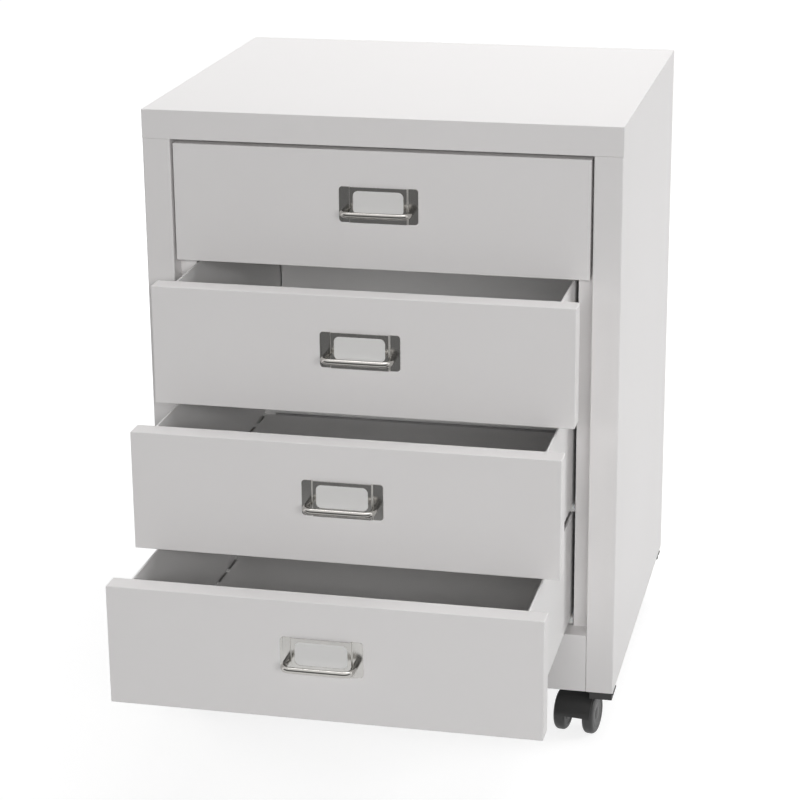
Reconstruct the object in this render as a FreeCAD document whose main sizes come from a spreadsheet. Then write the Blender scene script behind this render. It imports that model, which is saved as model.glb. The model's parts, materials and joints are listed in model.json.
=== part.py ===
import FreeCAD, Part
import math
import os
import re
import Sketcher

# Four-drawer mobile cabinet in folded sheet steel on twin-wheel castors.
# Millimetres. X is to the right, Y to the back, Z up. The floor is Z = 0 and the origin lies under
# the middle of the whole object as it stands, with its second, third and fourth drawers pulled out.

doc = FreeCAD.newDocument("drawer_cabinet")
sheet = doc.addObject("Spreadsheet::Sheet", "Sizes")

# Every driving size of the cabinet, in millimetres, with two counts and one turn in degrees.
SIZES = {
    # cabinet body
    "cabinet_width": 440.0,
    "cabinet_depth": 380.0,
    "cabinet_height": 540.0,
    "shell_sheet": 1.0,
    "bend_radius": 1.5,
    "crease_radius": 0.8,
    "post_width": 26.0,
    "top_bar_height": 27.0,
    "front_rail_height": 57.0,
    "inner_flange_width": 15.0,
    "rear_lip_width": 16.0,
    "bar_return_depth": 19.0,
    "rail_return_depth": 24.0,
    "pan_wall_height": 15.0,
    "panel_clearance": 0.2,
    # uprights inside the two sides
    "upright_width": 30.0,
    "upright_inset": 64.0,
    "runner_space": 13.0,
    # drawers
    "drawer_count": 4,
    "drawer_2_pull": 78.0,
    "drawer_3_pull": 150.0,
    "drawer_4_pull": 231.5,
    "front_gap": 3.5,
    "front_side_gap": 2.2,
    "front_depth": 20.0,
    "front_recess": 1.0,
    "front_back_lip": 24.0,
    "front_bend_radius": 0.9,
    "flange_clearance": 0.5,
    "tray_sheet": 0.8,
    "tray_side_gap": 3.2,
    "tray_rear_gap": 8.0,
    "tray_floor_lift": 4.0,
    "tray_top_drop": 1.5,
    "hem_height": 10.0,
    "slot_length": 27.0,
    "slot_width": 3.0,
    "slot_bridge": 7.0,
    "rear_slot_width": 3.0,
    "rear_slot_margin": 12.0,
    # runners and glides
    "runner_sheet": 1.2,
    "runner_front_gap": 1.0,
    "runner_rear_gap": 14.0,
    "runner_lip_reach": 10.0,
    "runner_floor_reach": 20.0,
    "runner_rise": 12.0,
    "runner_drop": 5.5,
    "glide_clearance": 0.3,
    "front_glide_length": 20.0,
    "front_glide_width": 9.5,
    "front_glide_radius": 4.0,
    "rear_glide_length": 22.0,
    "rear_glide_inset": 2.0,
    "rear_glide_side_gap": 0.5,
    "rear_glide_radius": 1.5,
    # label plate, card and wire pull
    "plate_width": 73.0,
    "plate_height": 33.0,
    "plate_below_top": 33.0,
    "plate_sheet": 1.0,
    "plate_corner_radius": 3.0,
    "plate_raise": 1.5,
    "plate_centre_width": 52.8,
    "plate_step_run": 0.8,
    "window_width": 46.5,
    "window_height": 21.5,
    "window_below_top": 3.5,
    "window_radius": 5.0,
    "card_sheet": 0.4,
    "card_margin": 1.0,
    "wire_radius": 2.75,
    "wire_bend": 7.0,
    "pull_width": 60.0,
    "pull_reach": 20.5,
    "pull_below_top": 54.5,
    "pull_screw_radius": 1.6,
    "pull_screw_head": 3.4,
    "pull_screw_head_depth": 2.2,
    "pull_screw_bite": 8.0,
    "hole_clearance": 0.2,
    # screws of the back panel
    "back_screw_count": 4,
    "back_screw_radius": 1.5,
    "back_screw_head": 3.2,
    "back_screw_head_depth": 1.6,
    "back_screw_length": 6.0,
    "back_screw_margin": 40.0,
    # corner feet
    "foot_side_length": 23.0,
    "foot_depth": 20.0,
    "foot_height": 7.5,
    "foot_rim": 1.5,
    "foot_step": 0.8,
    "foot_overhang": 0.8,
    "foot_plug_height": 12.0,
    "foot_plug_clearance": 0.3,
    "foot_front_gap": 0.4,
    "rear_foot_inset": 14.0,
    "rear_foot_depth": 9.0,
    "foot_peg_radius": 3.0,
    # castors
    "castor_height": 50.0,
    "castor_side_inset": 33.0,
    "castor_end_inset": 38.0,
    "castor_trail": 17.0,
    "castor_turn": -8.0,
    "wheel_radius": 20.0,
    "wheel_width": 11.0,
    "wheel_gap": 17.0,
    "wheel_shoulder": 4.0,
    "wheel_inner_round": 4.0,
    "wheel_cap_wall": 3.0,
    "axle_radius": 2.5,
    "running_clearance": 0.05,
    "side_clearance": 0.3,
    "hood_clearance": 0.5,
    "hood_wall": 1.0,
    "hood_width": 34.0,
    "hood_front_edge": 28.0,
    "hood_back_edge": 19.0,
    "axle_boss_radius": 4.0,
    "stem_radius": 4.0,
    "stem_collar_radius": 7.5,
    "stem_collar_depth": 2.2,
    "stem_depth": 15.5,
    "socket_floor": 1.0,
    "boss_radius": 9.0,
    "boss_depth": 12.0,
    "boss_cap_radius": 10.5,
    "boss_cap_depth": 6.0,
    "mount_length": 36.0,
    "mount_width": 24.0,
    "mount_plate": 2.0,
    "mount_boss_radius": 8.0,
    "mount_boss_height": 14.0,
    # overrun of every cutting shape
    "overrun": 2.0,
}

for row, (name, figure) in enumerate(SIZES.items(), start=1):
    cell = "A%d" % row
    sheet.set(cell, str(figure))
    sheet.setAlias(cell, name)
doc.recompute()


def formula(text):
    """The text as an expression, with each size named in it read from the sheet."""
    return re.sub(r"[a-z][a-z0-9_]*", lambda word: "Sizes." + word.group() if word.group() in SIZES
                  else word.group(), text)


def number(text):
    """The value of such a text."""
    return float(sheet.evalExpression(formula(text)))


# Places worked out from the sizes, as texts for the expressions.
HALF_WIDTH = "(cabinet_width / 2)"
SKIN_INSIDE = "(cabinet_width / 2 - shell_sheet)"
POST_INSIDE = "(cabinet_width / 2 - post_width)"
FLANGE_EDGE = "(cabinet_width / 2 - post_width - inner_flange_width)"
FLANGE_FRONT = "(front_recess + front_depth + flange_clearance)"
FLANGE_BACK = "(front_recess + front_depth + flange_clearance + shell_sheet)"
BAR_BOTTOM = "(cabinet_height - top_bar_height)"
LIP_INSIDE = "(cabinet_width / 2 - rear_lip_width)"
BACK_SKIN = "(cabinet_depth - shell_sheet)"
OPENING_HEIGHT = "(cabinet_height - top_bar_height - front_rail_height)"
FRONT_HEIGHT = "((" + OPENING_HEIGHT + " - (drawer_count + 1) * front_gap) / drawer_count)"
FRONT_PITCH = "(" + FRONT_HEIGHT + " + front_gap)"
FRONT_HALF = "(cabinet_width / 2 - post_width - front_side_gap)"
TRAY_HALF = "(cabinet_width / 2 - post_width - inner_flange_width - tray_side_gap)"
TRAY_LENGTH = "(cabinet_depth - front_recess - front_depth - tray_rear_gap)"
TRAY_END = "(front_depth + " + TRAY_LENGTH + ")"
TRAY_TOP = "(" + FRONT_HEIGHT + " - tray_top_drop)"
RUNNER_WEB = "(" + TRAY_HALF + " + runner_space)"
RUNNER_FLOOR = "(tray_floor_lift - runner_drop)"
RUNNER_START = "(" + FLANGE_BACK + " + runner_front_gap)"
PLATE_TOP = "(" + FRONT_HEIGHT + " - plate_below_top)"
PULL_HEIGHT = "(" + FRONT_HEIGHT + " - pull_below_top)"
AXLE_DROP = "(castor_height - wheel_radius)"
WEB_HALF = "(wheel_gap / 2 - side_clearance)"
ARCH_INSIDE = "(wheel_radius + hood_clearance)"
ARCH_OUTSIDE = "(wheel_radius + hood_clearance + hood_wall)"
HOOD_TOP = "(stem_collar_depth + side_clearance)"
CASTOR_X = "(cabinet_width / 2 - castor_side_inset)"
CASTOR_REAR = "(cabinet_depth - castor_end_inset)"
FRONT_PLANE = ("((drawer_4_pull - front_recess + pull_reach + wire_radius"
               " - cabinet_depth - back_screw_head_depth) / 2)")

nodes = []


def bind(thing, property_name, text):
    """Ties one property of an object to the sheet."""
    thing.setExpression(property_name, formula(text))


def place(thing, x="0", y="0", z="0"):
    """Ties the place of an object to the sheet."""
    bind(thing, ".Placement.Base.x", x)
    bind(thing, ".Placement.Base.y", y)
    bind(thing, ".Placement.Base.z", z)
    return thing


def block(name, x, y, z):
    """A box given by its lowest and highest X, Y and Z."""
    box = doc.addObject("Part::Box", name)
    for side, (low, high) in zip(("Length", "Width", "Height"), (x, y, z)):
        bind(box, side, "(%s) - (%s)" % (high, low))
    return place(box, x[0], y[0], z[0])


TURNS = {
    "x": FreeCAD.Rotation(FreeCAD.Vector(0, 1, 0), 90),
    "y": FreeCAD.Rotation(FreeCAD.Vector(1, 0, 0), -90),
    "z": FreeCAD.Rotation(),
}


def rod(name, axis, radius, length, x="0", y="0", z="0"):
    """A round bar that starts at x, y, z and runs along one axis."""
    bar = doc.addObject("Part::Cylinder", name)
    bar.Placement = FreeCAD.Placement(FreeCAD.Vector(), TURNS[axis])
    bind(bar, "Radius", radius)
    bind(bar, "Height", length)
    return place(bar, x, y, z)


def joined(name, pieces):
    """One solid from several that overlap."""
    whole = doc.addObject("Part::MultiFuse", name)
    whole.Shapes = pieces
    whole.Refine = True
    return whole


def together(name, pieces):
    """Several solids kept apart in one object."""
    group = doc.addObject("Part::Compound", name)
    group.Links = pieces
    return group


def cut_from(name, base, tools):
    """The base with every tool taken away."""
    result = doc.addObject("Part::Cut", name)
    result.Base = base
    result.Tool = tools[0] if len(tools) == 1 else together(name + "_tools", tools)
    result.Refine = True
    return result


def mirrored(name, source):
    """The left-hand twin of a right-hand piece."""
    twin = doc.addObject("Part::Mirroring", name)
    twin.Source = source
    twin.Normal = FreeCAD.Vector(1, 0, 0)
    return twin


def rounded(name, base, radius, wanted):
    """The base with a fillet on every edge whose middle point and direction pass the test."""
    doc.recompute()
    size = number(radius)
    chosen = []
    for index, edge in enumerate(base.Shape.Edges, start=1):
        if isinstance(edge.Curve, Part.Line) and wanted(edge.CenterOfMass, edge.Curve.Direction):
            chosen.append((index, size, size))
    if not chosen:
        raise RuntimeError(name + " found no edge to round")
    result = doc.addObject("Part::Fillet", name)
    result.Base = base
    result.Edges = chosen
    return result


def near(first, second):
    """Whether two numbers are the same place."""
    return abs(first - second) < 1e-4 * number("cabinet_width")


def along(direction, axis):
    """Whether a direction runs along an axis, 0 for X, 1 for Y and 2 for Z."""
    return abs(abs(direction[axis]) - 1) < 1e-6


def outline_sketch(body, plane_role, outline):
    """A closed sketch through the corners given, each tied to the sheet."""
    sketch = body.newObject("Sketcher::SketchObject", body.Name + "_section")
    plane = [item for item in body.Origin.OriginFeatures if item.Role == plane_role][0]
    sketch.AttachmentSupport = (plane, [""])
    sketch.MapMode = "FlatFace"
    corners = [FreeCAD.Vector(number(across), number(up), 0) for across, up in outline]
    count = len(corners)
    for index in range(count):
        sketch.addGeometry(Part.LineSegment(corners[index], corners[(index + 1) % count]))
    for index in range(count):
        sketch.addConstraint(Sketcher.Constraint("Coincident", index, 2, (index + 1) % count, 1))
    for index, (across, up) in enumerate(outline):
        spot = corners[index]
        fixed_x = sketch.addConstraint(Sketcher.Constraint("DistanceX", -1, 1, index, 1, spot.x))
        bind(sketch, "Constraints[%d]" % fixed_x, across)
        fixed_y = sketch.addConstraint(Sketcher.Constraint("DistanceY", -1, 1, index, 1, spot.y))
        bind(sketch, "Constraints[%d]" % fixed_y, up)
    return sketch


def folded_sheet(name, plane_role, outline, length, middle=False, backwards=False):
    """A folded sheet: its section, drawn on one plane, pushed out to its length."""
    body = doc.addObject("PartDesign::Body", name)
    sketch = outline_sketch(body, plane_role, outline)
    pad = body.newObject("PartDesign::Pad", name + "_length")
    pad.Profile = sketch
    bind(pad, "Length", length)
    pad.Midplane = middle
    pad.Reversed = backwards
    return body


def turned_piece(name, outline):
    """A piece turned about the X axis from its half section."""
    body = doc.addObject("PartDesign::Body", name)
    sketch = outline_sketch(body, "XY_Plane", outline)
    turning = body.newObject("PartDesign::Revolution", name + "_turning")
    turning.Profile = sketch
    turning.ReferenceAxis = (sketch, ["H_Axis"])
    turning.Angle = 360
    return body


def node(label, sources, x, y, z, turn="0"):
    """A named sub-part: its solids, put in their place on the object and turned about Z in degrees."""
    group = together(label, sources)
    group.Label = label
    place(group, x, y, z)
    bind(group, "Placement.Rotation.Angle", turn)
    nodes.append(group)
    return group


def cabinet_node(label, sources):
    """A sub-part drawn from the cabinet's front plane and underside."""
    return node(label, sources, "0", FRONT_PLANE, "castor_height")


def moved(name, source, x="0", y="0", z="0"):
    """The same solid in another place."""
    return place(together(name, [source]), x, y, z)


# Side panels. Each is one sheet: the outer skin, the post at its front, the return and the inner
# flange behind the drawer fronts, and the lip at the back that takes the back panel.
def side_panels():
    section = [
        ("cabinet_width / 2", "cabinet_depth"),
        ("cabinet_width / 2", "0"),
        (POST_INSIDE, "0"),
        (POST_INSIDE, FLANGE_FRONT),
        (FLANGE_EDGE, FLANGE_FRONT),
        (FLANGE_EDGE, FLANGE_BACK),
        (POST_INSIDE + " + shell_sheet", FLANGE_BACK),
        (POST_INSIDE + " + shell_sheet", "shell_sheet"),
        (SKIN_INSIDE, "shell_sheet"),
        (SKIN_INSIDE, BACK_SKIN),
        (LIP_INSIDE, BACK_SKIN),
        (LIP_INSIDE, "cabinet_depth"),
    ]
    folded = folded_sheet("side_sheet", "XY_Plane", section, "cabinet_height - shell_sheet")
    post_edges = (number(HALF_WIDTH), number(POST_INSIDE))
    bent = rounded("side_bends", folded, "bend_radius",
                   lambda middle, way: along(way, 2) and near(middle.y, 0)
                   and any(near(middle.x, edge) for edge in post_edges))
    bar_notch = block("bar_notch", (FLANGE_EDGE + " - overrun", "cabinet_width / 2 + overrun"),
                      ("-overrun", "shell_sheet"), (BAR_BOTTOM, "cabinet_height + overrun"))
    post_notch = block("post_notch", (FLANGE_EDGE + " - overrun", SKIN_INSIDE),
                       ("-overrun", FLANGE_BACK + " + overrun"), (BAR_BOTTOM, "cabinet_height + overrun"))
    rail_notch = block("rail_notch", (FLANGE_EDGE + " - overrun", POST_INSIDE),
                       (FLANGE_FRONT + " - overrun", FLANGE_BACK + " + overrun"),
                       ("-overrun", "front_rail_height"))
    holes = back_screw_row("lip_hole", "back_screw_radius + hole_clearance", "2 * overrun + shell_sheet",
                           BACK_SKIN + " - overrun")
    panel = cut_from("side_panel", bent, [bar_notch, post_notch, rail_notch] + holes)
    cabinet_node("side_panel_right", [panel])
    cabinet_node("side_panel_left", [mirrored("side_panel_twin", panel)])


def back_screw_row(name, radius, length, start):
    """A row of round bars up the right-hand rear lip, where the back panel is screwed on."""
    count = int(number("back_screw_count"))
    row = []
    for index in range(count):
        height = "back_screw_margin + %d * (cabinet_height - 2 * back_screw_margin) / %d" % (index, count - 1)
        row.append(rod("%s_%d" % (name, index + 1), "y", radius, length,
                       "cabinet_width / 2 - rear_lip_width / 2", start, height))
    return row


# Top panel. One sheet with its front edge folded down into the bar above the drawers and back
# again, and a short flange folded down at the back.
def top_panel():
    section = [
        ("0", "cabinet_height"),
        ("0", BAR_BOTTOM),
        ("bar_return_depth", BAR_BOTTOM),
        ("bar_return_depth", BAR_BOTTOM + " + shell_sheet"),
        ("shell_sheet", BAR_BOTTOM + " + shell_sheet"),
        ("shell_sheet", "cabinet_height - shell_sheet"),
        (BACK_SKIN, "cabinet_height - shell_sheet"),
        (BACK_SKIN, "cabinet_height - pan_wall_height"),
        ("cabinet_depth", "cabinet_height - pan_wall_height"),
        ("cabinet_depth", "cabinet_height"),
    ]
    folded = folded_sheet("top_sheet", "YZ_Plane", section, "cabinet_width", middle=True)
    bar_ends = (number("cabinet_height"), number(BAR_BOTTOM))
    bent = rounded("top_bends", folded, "crease_radius",
                   lambda middle, way: along(way, 0) and near(middle.y, 0)
                   and any(near(middle.z, edge) for edge in bar_ends))
    end_cuts = []
    for side, low, high in (("right", SKIN_INSIDE, HALF_WIDTH + " + overrun"),
                            ("left", "-(" + HALF_WIDTH + ") - overrun", "-" + SKIN_INSIDE)):
        end_cuts.append(block("top_end_" + side, (low, high), ("shell_sheet", "cabinet_depth + overrun"),
                              (BAR_BOTTOM + " - overrun", "cabinet_height - shell_sheet")))
    for side, low, high in (("right", LIP_INSIDE, HALF_WIDTH), ("left", "-" + HALF_WIDTH, "-" + LIP_INSIDE)):
        end_cuts.append(block("top_lip_" + side, (low, high), (BACK_SKIN + " - overrun",
                              "cabinet_depth + overrun"), (BAR_BOTTOM, "cabinet_height - shell_sheet")))
    cabinet_node("top_panel", [cut_from("top_cut", bent, end_cuts)])


# Back panel. A flat sheet that lies against the rear lips from inside and is screwed to them.
def back_panel():
    flat = block("back_sheet", ("-" + SKIN_INSIDE + " + panel_clearance", SKIN_INSIDE + " - panel_clearance"),
                 (BACK_SKIN + " - shell_sheet", BACK_SKIN),
                 ("shell_sheet", "cabinet_height - shell_sheet - panel_clearance"))
    holes = back_screw_row("panel_hole", "back_screw_radius + hole_clearance", "2 * overrun + shell_sheet",
                           BACK_SKIN + " - shell_sheet - overrun")
    drilled = cut_from("back_drilled_right", flat, holes)
    left_holes = [mirrored(hole.Name + "_twin", hole) for hole in back_screw_row(
        "panel_hole_left", "back_screw_radius + hole_clearance", "2 * overrun + shell_sheet",
        BACK_SKIN + " - shell_sheet - overrun")]
    cabinet_node("back_panel", [cut_from("back_drilled", drilled, left_holes)])


# Screws of the back panel: pan heads outside the lips, shanks through the lip and the panel.
def back_panel_screws():
    shanks = back_screw_row("back_shank", "back_screw_radius", "back_screw_length",
                            "cabinet_depth - back_screw_length")
    heads = back_screw_row("back_head", "back_screw_head", "back_screw_head_depth", "cabinet_depth")
    screws = [joined("back_screw_%d" % index, pair) for index, pair in enumerate(zip(shanks, heads))]
    twins = [mirrored(screw.Name + "_twin", screw) for screw in screws]
    cabinet_node("back_panel_screws", screws + twins)


# Base. A shallow pan between the side skins, with a hole for each castor's stem and a hole for
# the peg of each rear foot.
def base_panel():
    outer = block("base_block", ("-" + SKIN_INSIDE, SKIN_INSIDE),
                  ("rail_return_depth", BACK_SKIN + " - shell_sheet"), ("0", "pan_wall_height"))
    inner = block("base_hollow", ("-" + SKIN_INSIDE + " + shell_sheet", SKIN_INSIDE + " - shell_sheet"),
                  ("rail_return_depth + shell_sheet", BACK_SKIN + " - 2 * shell_sheet"),
                  ("shell_sheet", "pan_wall_height + overrun"))
    holes = []
    for side in ("", "-"):
        for end, depth in (("front", "castor_end_inset"), ("rear", CASTOR_REAR)):
            holes.append(rod("stem_hole_%d" % len(holes), "z", "stem_radius + hole_clearance",
                             "shell_sheet + 2 * overrun", side + CASTOR_X, depth, "-overrun"))
        holes.append(rod("peg_hole_%d" % len(holes), "z", "foot_peg_radius + hole_clearance",
                         "shell_sheet + 2 * overrun", side + "(" + HALF_WIDTH + " - foot_side_length / 2)",
                         "cabinet_depth - rear_foot_inset - rear_foot_depth / 2", "-overrun"))
    cabinet_node("base_panel", [cut_from("base_pan", outer, [inner] + holes)])


# Front rail. A channel between the posts, flush with them, under the lowest drawer.
def front_rail():
    section = [
        ("0", "0"),
        ("rail_return_depth", "0"),
        ("rail_return_depth", "shell_sheet"),
        ("shell_sheet", "shell_sheet"),
        ("shell_sheet", "front_rail_height - shell_sheet"),
        ("rail_return_depth", "front_rail_height - shell_sheet"),
        ("rail_return_depth", "front_rail_height"),
        ("0", "front_rail_height"),
    ]
    folded = folded_sheet("rail_sheet", "YZ_Plane", section, "2 * " + POST_INSIDE, middle=True)
    top_edge = number("front_rail_height")
    bent = rounded("rail_bend", folded, "crease_radius",
                   lambda middle, way: along(way, 0) and near(middle.y, 0) and near(middle.z, top_edge))
    cabinet_node("front_rail", [bent])


# Uprights. Two channels behind each side skin carry the runners.
def side_uprights():
    section = [
        (RUNNER_WEB, "0"),
        (SKIN_INSIDE, "0"),
        (SKIN_INSIDE, "shell_sheet"),
        (RUNNER_WEB + " + shell_sheet", "shell_sheet"),
        (RUNNER_WEB + " + shell_sheet", "upright_width - shell_sheet"),
        (SKIN_INSIDE, "upright_width - shell_sheet"),
        (SKIN_INSIDE, "upright_width"),
        (RUNNER_WEB, "upright_width"),
    ]
    channel = folded_sheet("upright_sheet", "XY_Plane", section, BAR_BOTTOM + " - pan_wall_height")
    front = moved("upright_front", channel, "0", "upright_inset", "pan_wall_height")
    rear = moved("upright_rear", channel, "0", "cabinet_depth - upright_inset - upright_width",
                 "pan_wall_height")
    cabinet_node("side_uprights_right", [front, rear])
    cabinet_node("side_uprights_left", [mirrored("upright_front_twin", front),
                                        mirrored("upright_rear_twin", rear)])


def front_bottom(number_from_top):
    """Height of the lower edge of one drawer front above the cabinet's underside."""
    return "(front_rail_height + front_gap + (drawer_count - %d) * %s)" % (number_from_top, FRONT_PITCH)


def drawer_numbers():
    """The drawers, counted from the top."""
    return range(1, int(number("drawer_count")) + 1)


# Fixed runners. Channels that open towards the drawer: the floor reaches under the tray's edge
# and the upper lip holds the rear glide down.
def fixed_runners():
    section = [
        (RUNNER_WEB + " - runner_floor_reach", RUNNER_FLOOR + " - runner_sheet"),
        (RUNNER_WEB, RUNNER_FLOOR + " - runner_sheet"),
        (RUNNER_WEB, "tray_floor_lift + runner_rise + runner_sheet"),
        (RUNNER_WEB + " - runner_lip_reach", "tray_floor_lift + runner_rise + runner_sheet"),
        (RUNNER_WEB + " - runner_lip_reach", "tray_floor_lift + runner_rise"),
        (RUNNER_WEB + " - runner_sheet", "tray_floor_lift + runner_rise"),
        (RUNNER_WEB + " - runner_sheet", RUNNER_FLOOR),
        (RUNNER_WEB + " - runner_floor_reach", RUNNER_FLOOR),
    ]
    length = "cabinet_depth - runner_rear_gap - " + RUNNER_START
    channel = folded_sheet("runner_channel", "XZ_Plane", section, length, backwards=True)
    runners = [moved("runner_%d" % drawer, channel, "0", RUNNER_START, front_bottom(drawer))
               for drawer in drawer_numbers()]
    cabinet_node("fixed_runners_right", runners)
    cabinet_node("fixed_runners_left", [mirrored(runner.Name + "_twin", runner) for runner in runners])


# Front glides. Moulded nylon blocks on the floor of each runner, round on top, on which the edges
# of the tray slide.
def front_glides():
    raw = block("glide_block", (RUNNER_WEB + " - runner_floor_reach",
                                RUNNER_WEB + " - runner_floor_reach + front_glide_width"),
                (RUNNER_START, RUNNER_START + " + front_glide_length"),
                (RUNNER_FLOOR, "tray_floor_lift - glide_clearance"))
    top = number("tray_floor_lift - glide_clearance")
    glide = rounded("front_glide", raw, "front_glide_radius",
                    lambda middle, way: along(way, 0) and near(middle.z, top))
    glides = [moved("front_glide_%d" % drawer, glide, "0", "0", front_bottom(drawer))
              for drawer in drawer_numbers()]
    twins = [mirrored(item.Name + "_twin", item) for item in glides]
    cabinet_node("front_glides", glides + twins)


# Corner feet. Moulded caps under the posts and near the rear corners, with a rim that stands a
# little proud of the side. The front ones plug into the posts, the rear ones have a peg.
def foot_cap(name, start, depth):
    rim = block(name + "_rim", (HALF_WIDTH + " - foot_side_length", HALF_WIDTH + " + foot_overhang"),
                (start, start + " + " + depth), ("-foot_rim", "0"))
    pad = block(name + "_pad", (HALF_WIDTH + " - foot_side_length + foot_step", HALF_WIDTH + " - foot_step"),
                (start + " + foot_step", start + " + " + depth + " - foot_step"),
                ("-foot_height", "-foot_rim / 2"))
    return [rim, pad]


def corner_feet():
    plug = block("foot_plug", (POST_INSIDE + " + shell_sheet + foot_plug_clearance",
                               SKIN_INSIDE + " - foot_plug_clearance"),
                 ("shell_sheet + foot_plug_clearance", "foot_depth - foot_plug_clearance"),
                 ("-foot_rim / 2", "foot_plug_height"))
    front = joined("front_foot", foot_cap("front_foot", "foot_front_gap", "foot_depth") + [plug])
    peg = rod("foot_peg", "z", "foot_peg_radius", "foot_plug_height + foot_rim / 2",
              HALF_WIDTH + " - foot_side_length / 2",
              "cabinet_depth - rear_foot_inset - rear_foot_depth / 2", "-foot_rim / 2")
    start = "cabinet_depth - rear_foot_inset - rear_foot_depth"
    rear = joined("rear_foot", foot_cap("rear_foot", start, "rear_foot_depth") + [peg])
    cabinet_node("corner_feet", [front, rear, mirrored("front_foot_twin", front),
                                 mirrored("rear_foot_twin", rear)])


# The four castor places: name, side as a sign, depth of the swivel axis and turn in degrees.
CASTORS = (
    ("front_right", "", "castor_end_inset", "castor_turn"),
    ("front_left", "-", "castor_end_inset", "0"),
    ("rear_right", "", CASTOR_REAR, "0"),
    ("rear_left", "-", CASTOR_REAR, "0"),
)


# Castor mounts and stems. A plate with a boss is welded inside the base over each hole, and holds
# the upper end of the stem. The stem's collar meets the underside of the base.
def castor_mounts():
    plate = block("mount_plate", ("-mount_length / 2", "mount_length / 2"),
                  ("-mount_width / 2", "mount_width / 2"), ("shell_sheet", "shell_sheet + mount_plate"))
    boss = rod("mount_boss", "z", "mount_boss_radius", "mount_plate + mount_boss_height",
               z="shell_sheet")
    bore = rod("mount_bore", "z", "stem_radius + running_clearance",
               "mount_plate + mount_boss_height + 2 * overrun", z="shell_sheet - overrun")
    mount = cut_from("castor_mount", joined("mount_body", [plate, boss]), [bore])
    stem = rod("stem_bar", "z", "stem_radius",
               "stem_depth + shell_sheet + mount_plate + mount_boss_height", z="-stem_depth")
    collar = rod("stem_collar", "z", "stem_collar_radius", "stem_collar_depth", z="-stem_collar_depth")
    whole_stem = joined("castor_stem", [stem, collar])
    mounts = []
    stems = []
    for name, side, depth, turn in CASTORS:
        mounts.append(moved("mount_" + name, mount, side + CASTOR_X, depth))
        stems.append(moved("stem_" + name, whole_stem, side + CASTOR_X, depth))
    cabinet_node("castor_mounts", mounts)
    cabinet_node("castor_stems", stems)


# Castor hood. A web between the wheels with an arch over them, a boss that turns on the stem and a
# smaller boss that holds the axle.
def castor_hood():
    web = rod("hood_web", "x", ARCH_OUTSIDE, "2 * " + WEB_HALF, "-" + WEB_HALF, "-castor_trail",
              "-" + AXLE_DROP)
    web_cut = block("hood_web_cut", ("-" + WEB_HALF + " - overrun", WEB_HALF + " + overrun"),
                    ("-castor_trail - 2 * wheel_radius", "2 * wheel_radius"),
                    ("-castor_height - overrun", "-hood_front_edge"))
    arch = rod("arch_outside", "x", ARCH_OUTSIDE, "hood_width", "-hood_width / 2", "-castor_trail",
               "-" + AXLE_DROP)
    arch_hollow = rod("arch_inside", "x", ARCH_INSIDE, "hood_width + 2 * overrun",
                      "-hood_width / 2 - overrun", "-castor_trail", "-" + AXLE_DROP)
    front_cut = block("arch_front_cut", ("-hood_width / 2 - overrun", "hood_width / 2 + overrun"),
                      ("-castor_trail - 2 * wheel_radius", "-castor_trail"),
                      ("-castor_height - overrun", "-hood_front_edge"))
    back_cut = block("arch_back_cut", ("-hood_width / 2 - overrun", "hood_width / 2 + overrun"),
                     ("-castor_trail", "2 * wheel_radius"), ("-castor_height - overrun", "-hood_back_edge"))
    arch_shell = cut_from("arch_shell", arch, [arch_hollow, front_cut, back_cut])
    web_trimmed = cut_from("web_trimmed", web, [web_cut])
    axle_boss = rod("axle_boss", "x", "axle_boss_radius", "2 * " + WEB_HALF, "-" + WEB_HALF,
                    "-castor_trail", "-" + AXLE_DROP)
    cap = rod("boss_cap", "z", "boss_cap_radius", "boss_cap_depth - " + HOOD_TOP, z="-boss_cap_depth")
    boss = rod("boss_body", "z", "boss_radius", "boss_depth - " + HOOD_TOP, z="-boss_depth")
    root = rod("boss_root", "z", WEB_HALF, "hood_front_edge - " + HOOD_TOP, z="-hood_front_edge")
    body = joined("hood_body", [web_trimmed, axle_boss, arch_shell, cap, boss, root])
    socket = rod("stem_socket", "z", "stem_radius + running_clearance", "stem_depth + socket_floor",
                 z="-stem_depth - socket_floor")
    axle_hole = rod("axle_hole", "x", "axle_radius + running_clearance", "wheel_gap + 2 * overrun",
                    "-wheel_gap / 2 - overrun", "-castor_trail", "-" + AXLE_DROP)
    return cut_from("castor_hood", body, [socket, axle_hole])


# Castor wheel. A solid moulded wheel with both shoulders rounded and a blind bore for the axle.
def castor_wheel():
    section = [
        ("wheel_gap / 2", "axle_radius + running_clearance"),
        ("wheel_gap / 2", "wheel_radius"),
        ("wheel_gap / 2 + wheel_width", "wheel_radius"),
        ("wheel_gap / 2 + wheel_width", "0"),
        ("wheel_gap / 2 + wheel_width - wheel_cap_wall", "0"),
        ("wheel_gap / 2 + wheel_width - wheel_cap_wall", "axle_radius + running_clearance"),
    ]
    body = turned_piece("wheel_turned", section)
    for name, radius, spot in (("outer_shoulder", "wheel_shoulder", "wheel_gap / 2 + wheel_width"),
                               ("inner_shoulder", "wheel_inner_round", "wheel_gap / 2")):
        doc.recompute()
        reach = number(spot)
        rims = ["Edge%d" % index for index, edge in enumerate(body.Shape.Edges, start=1)
                if isinstance(edge.Curve, Part.Circle) and near(edge.Curve.Radius, number("wheel_radius"))
                and near(edge.Curve.Center.x, reach)]
        before = body.Tip
        shoulder = body.newObject("PartDesign::Fillet", name)
        shoulder.Base = (before, rims)
        bind(shoulder, "Radius", radius)
        body.Tip = shoulder
    return body


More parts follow.
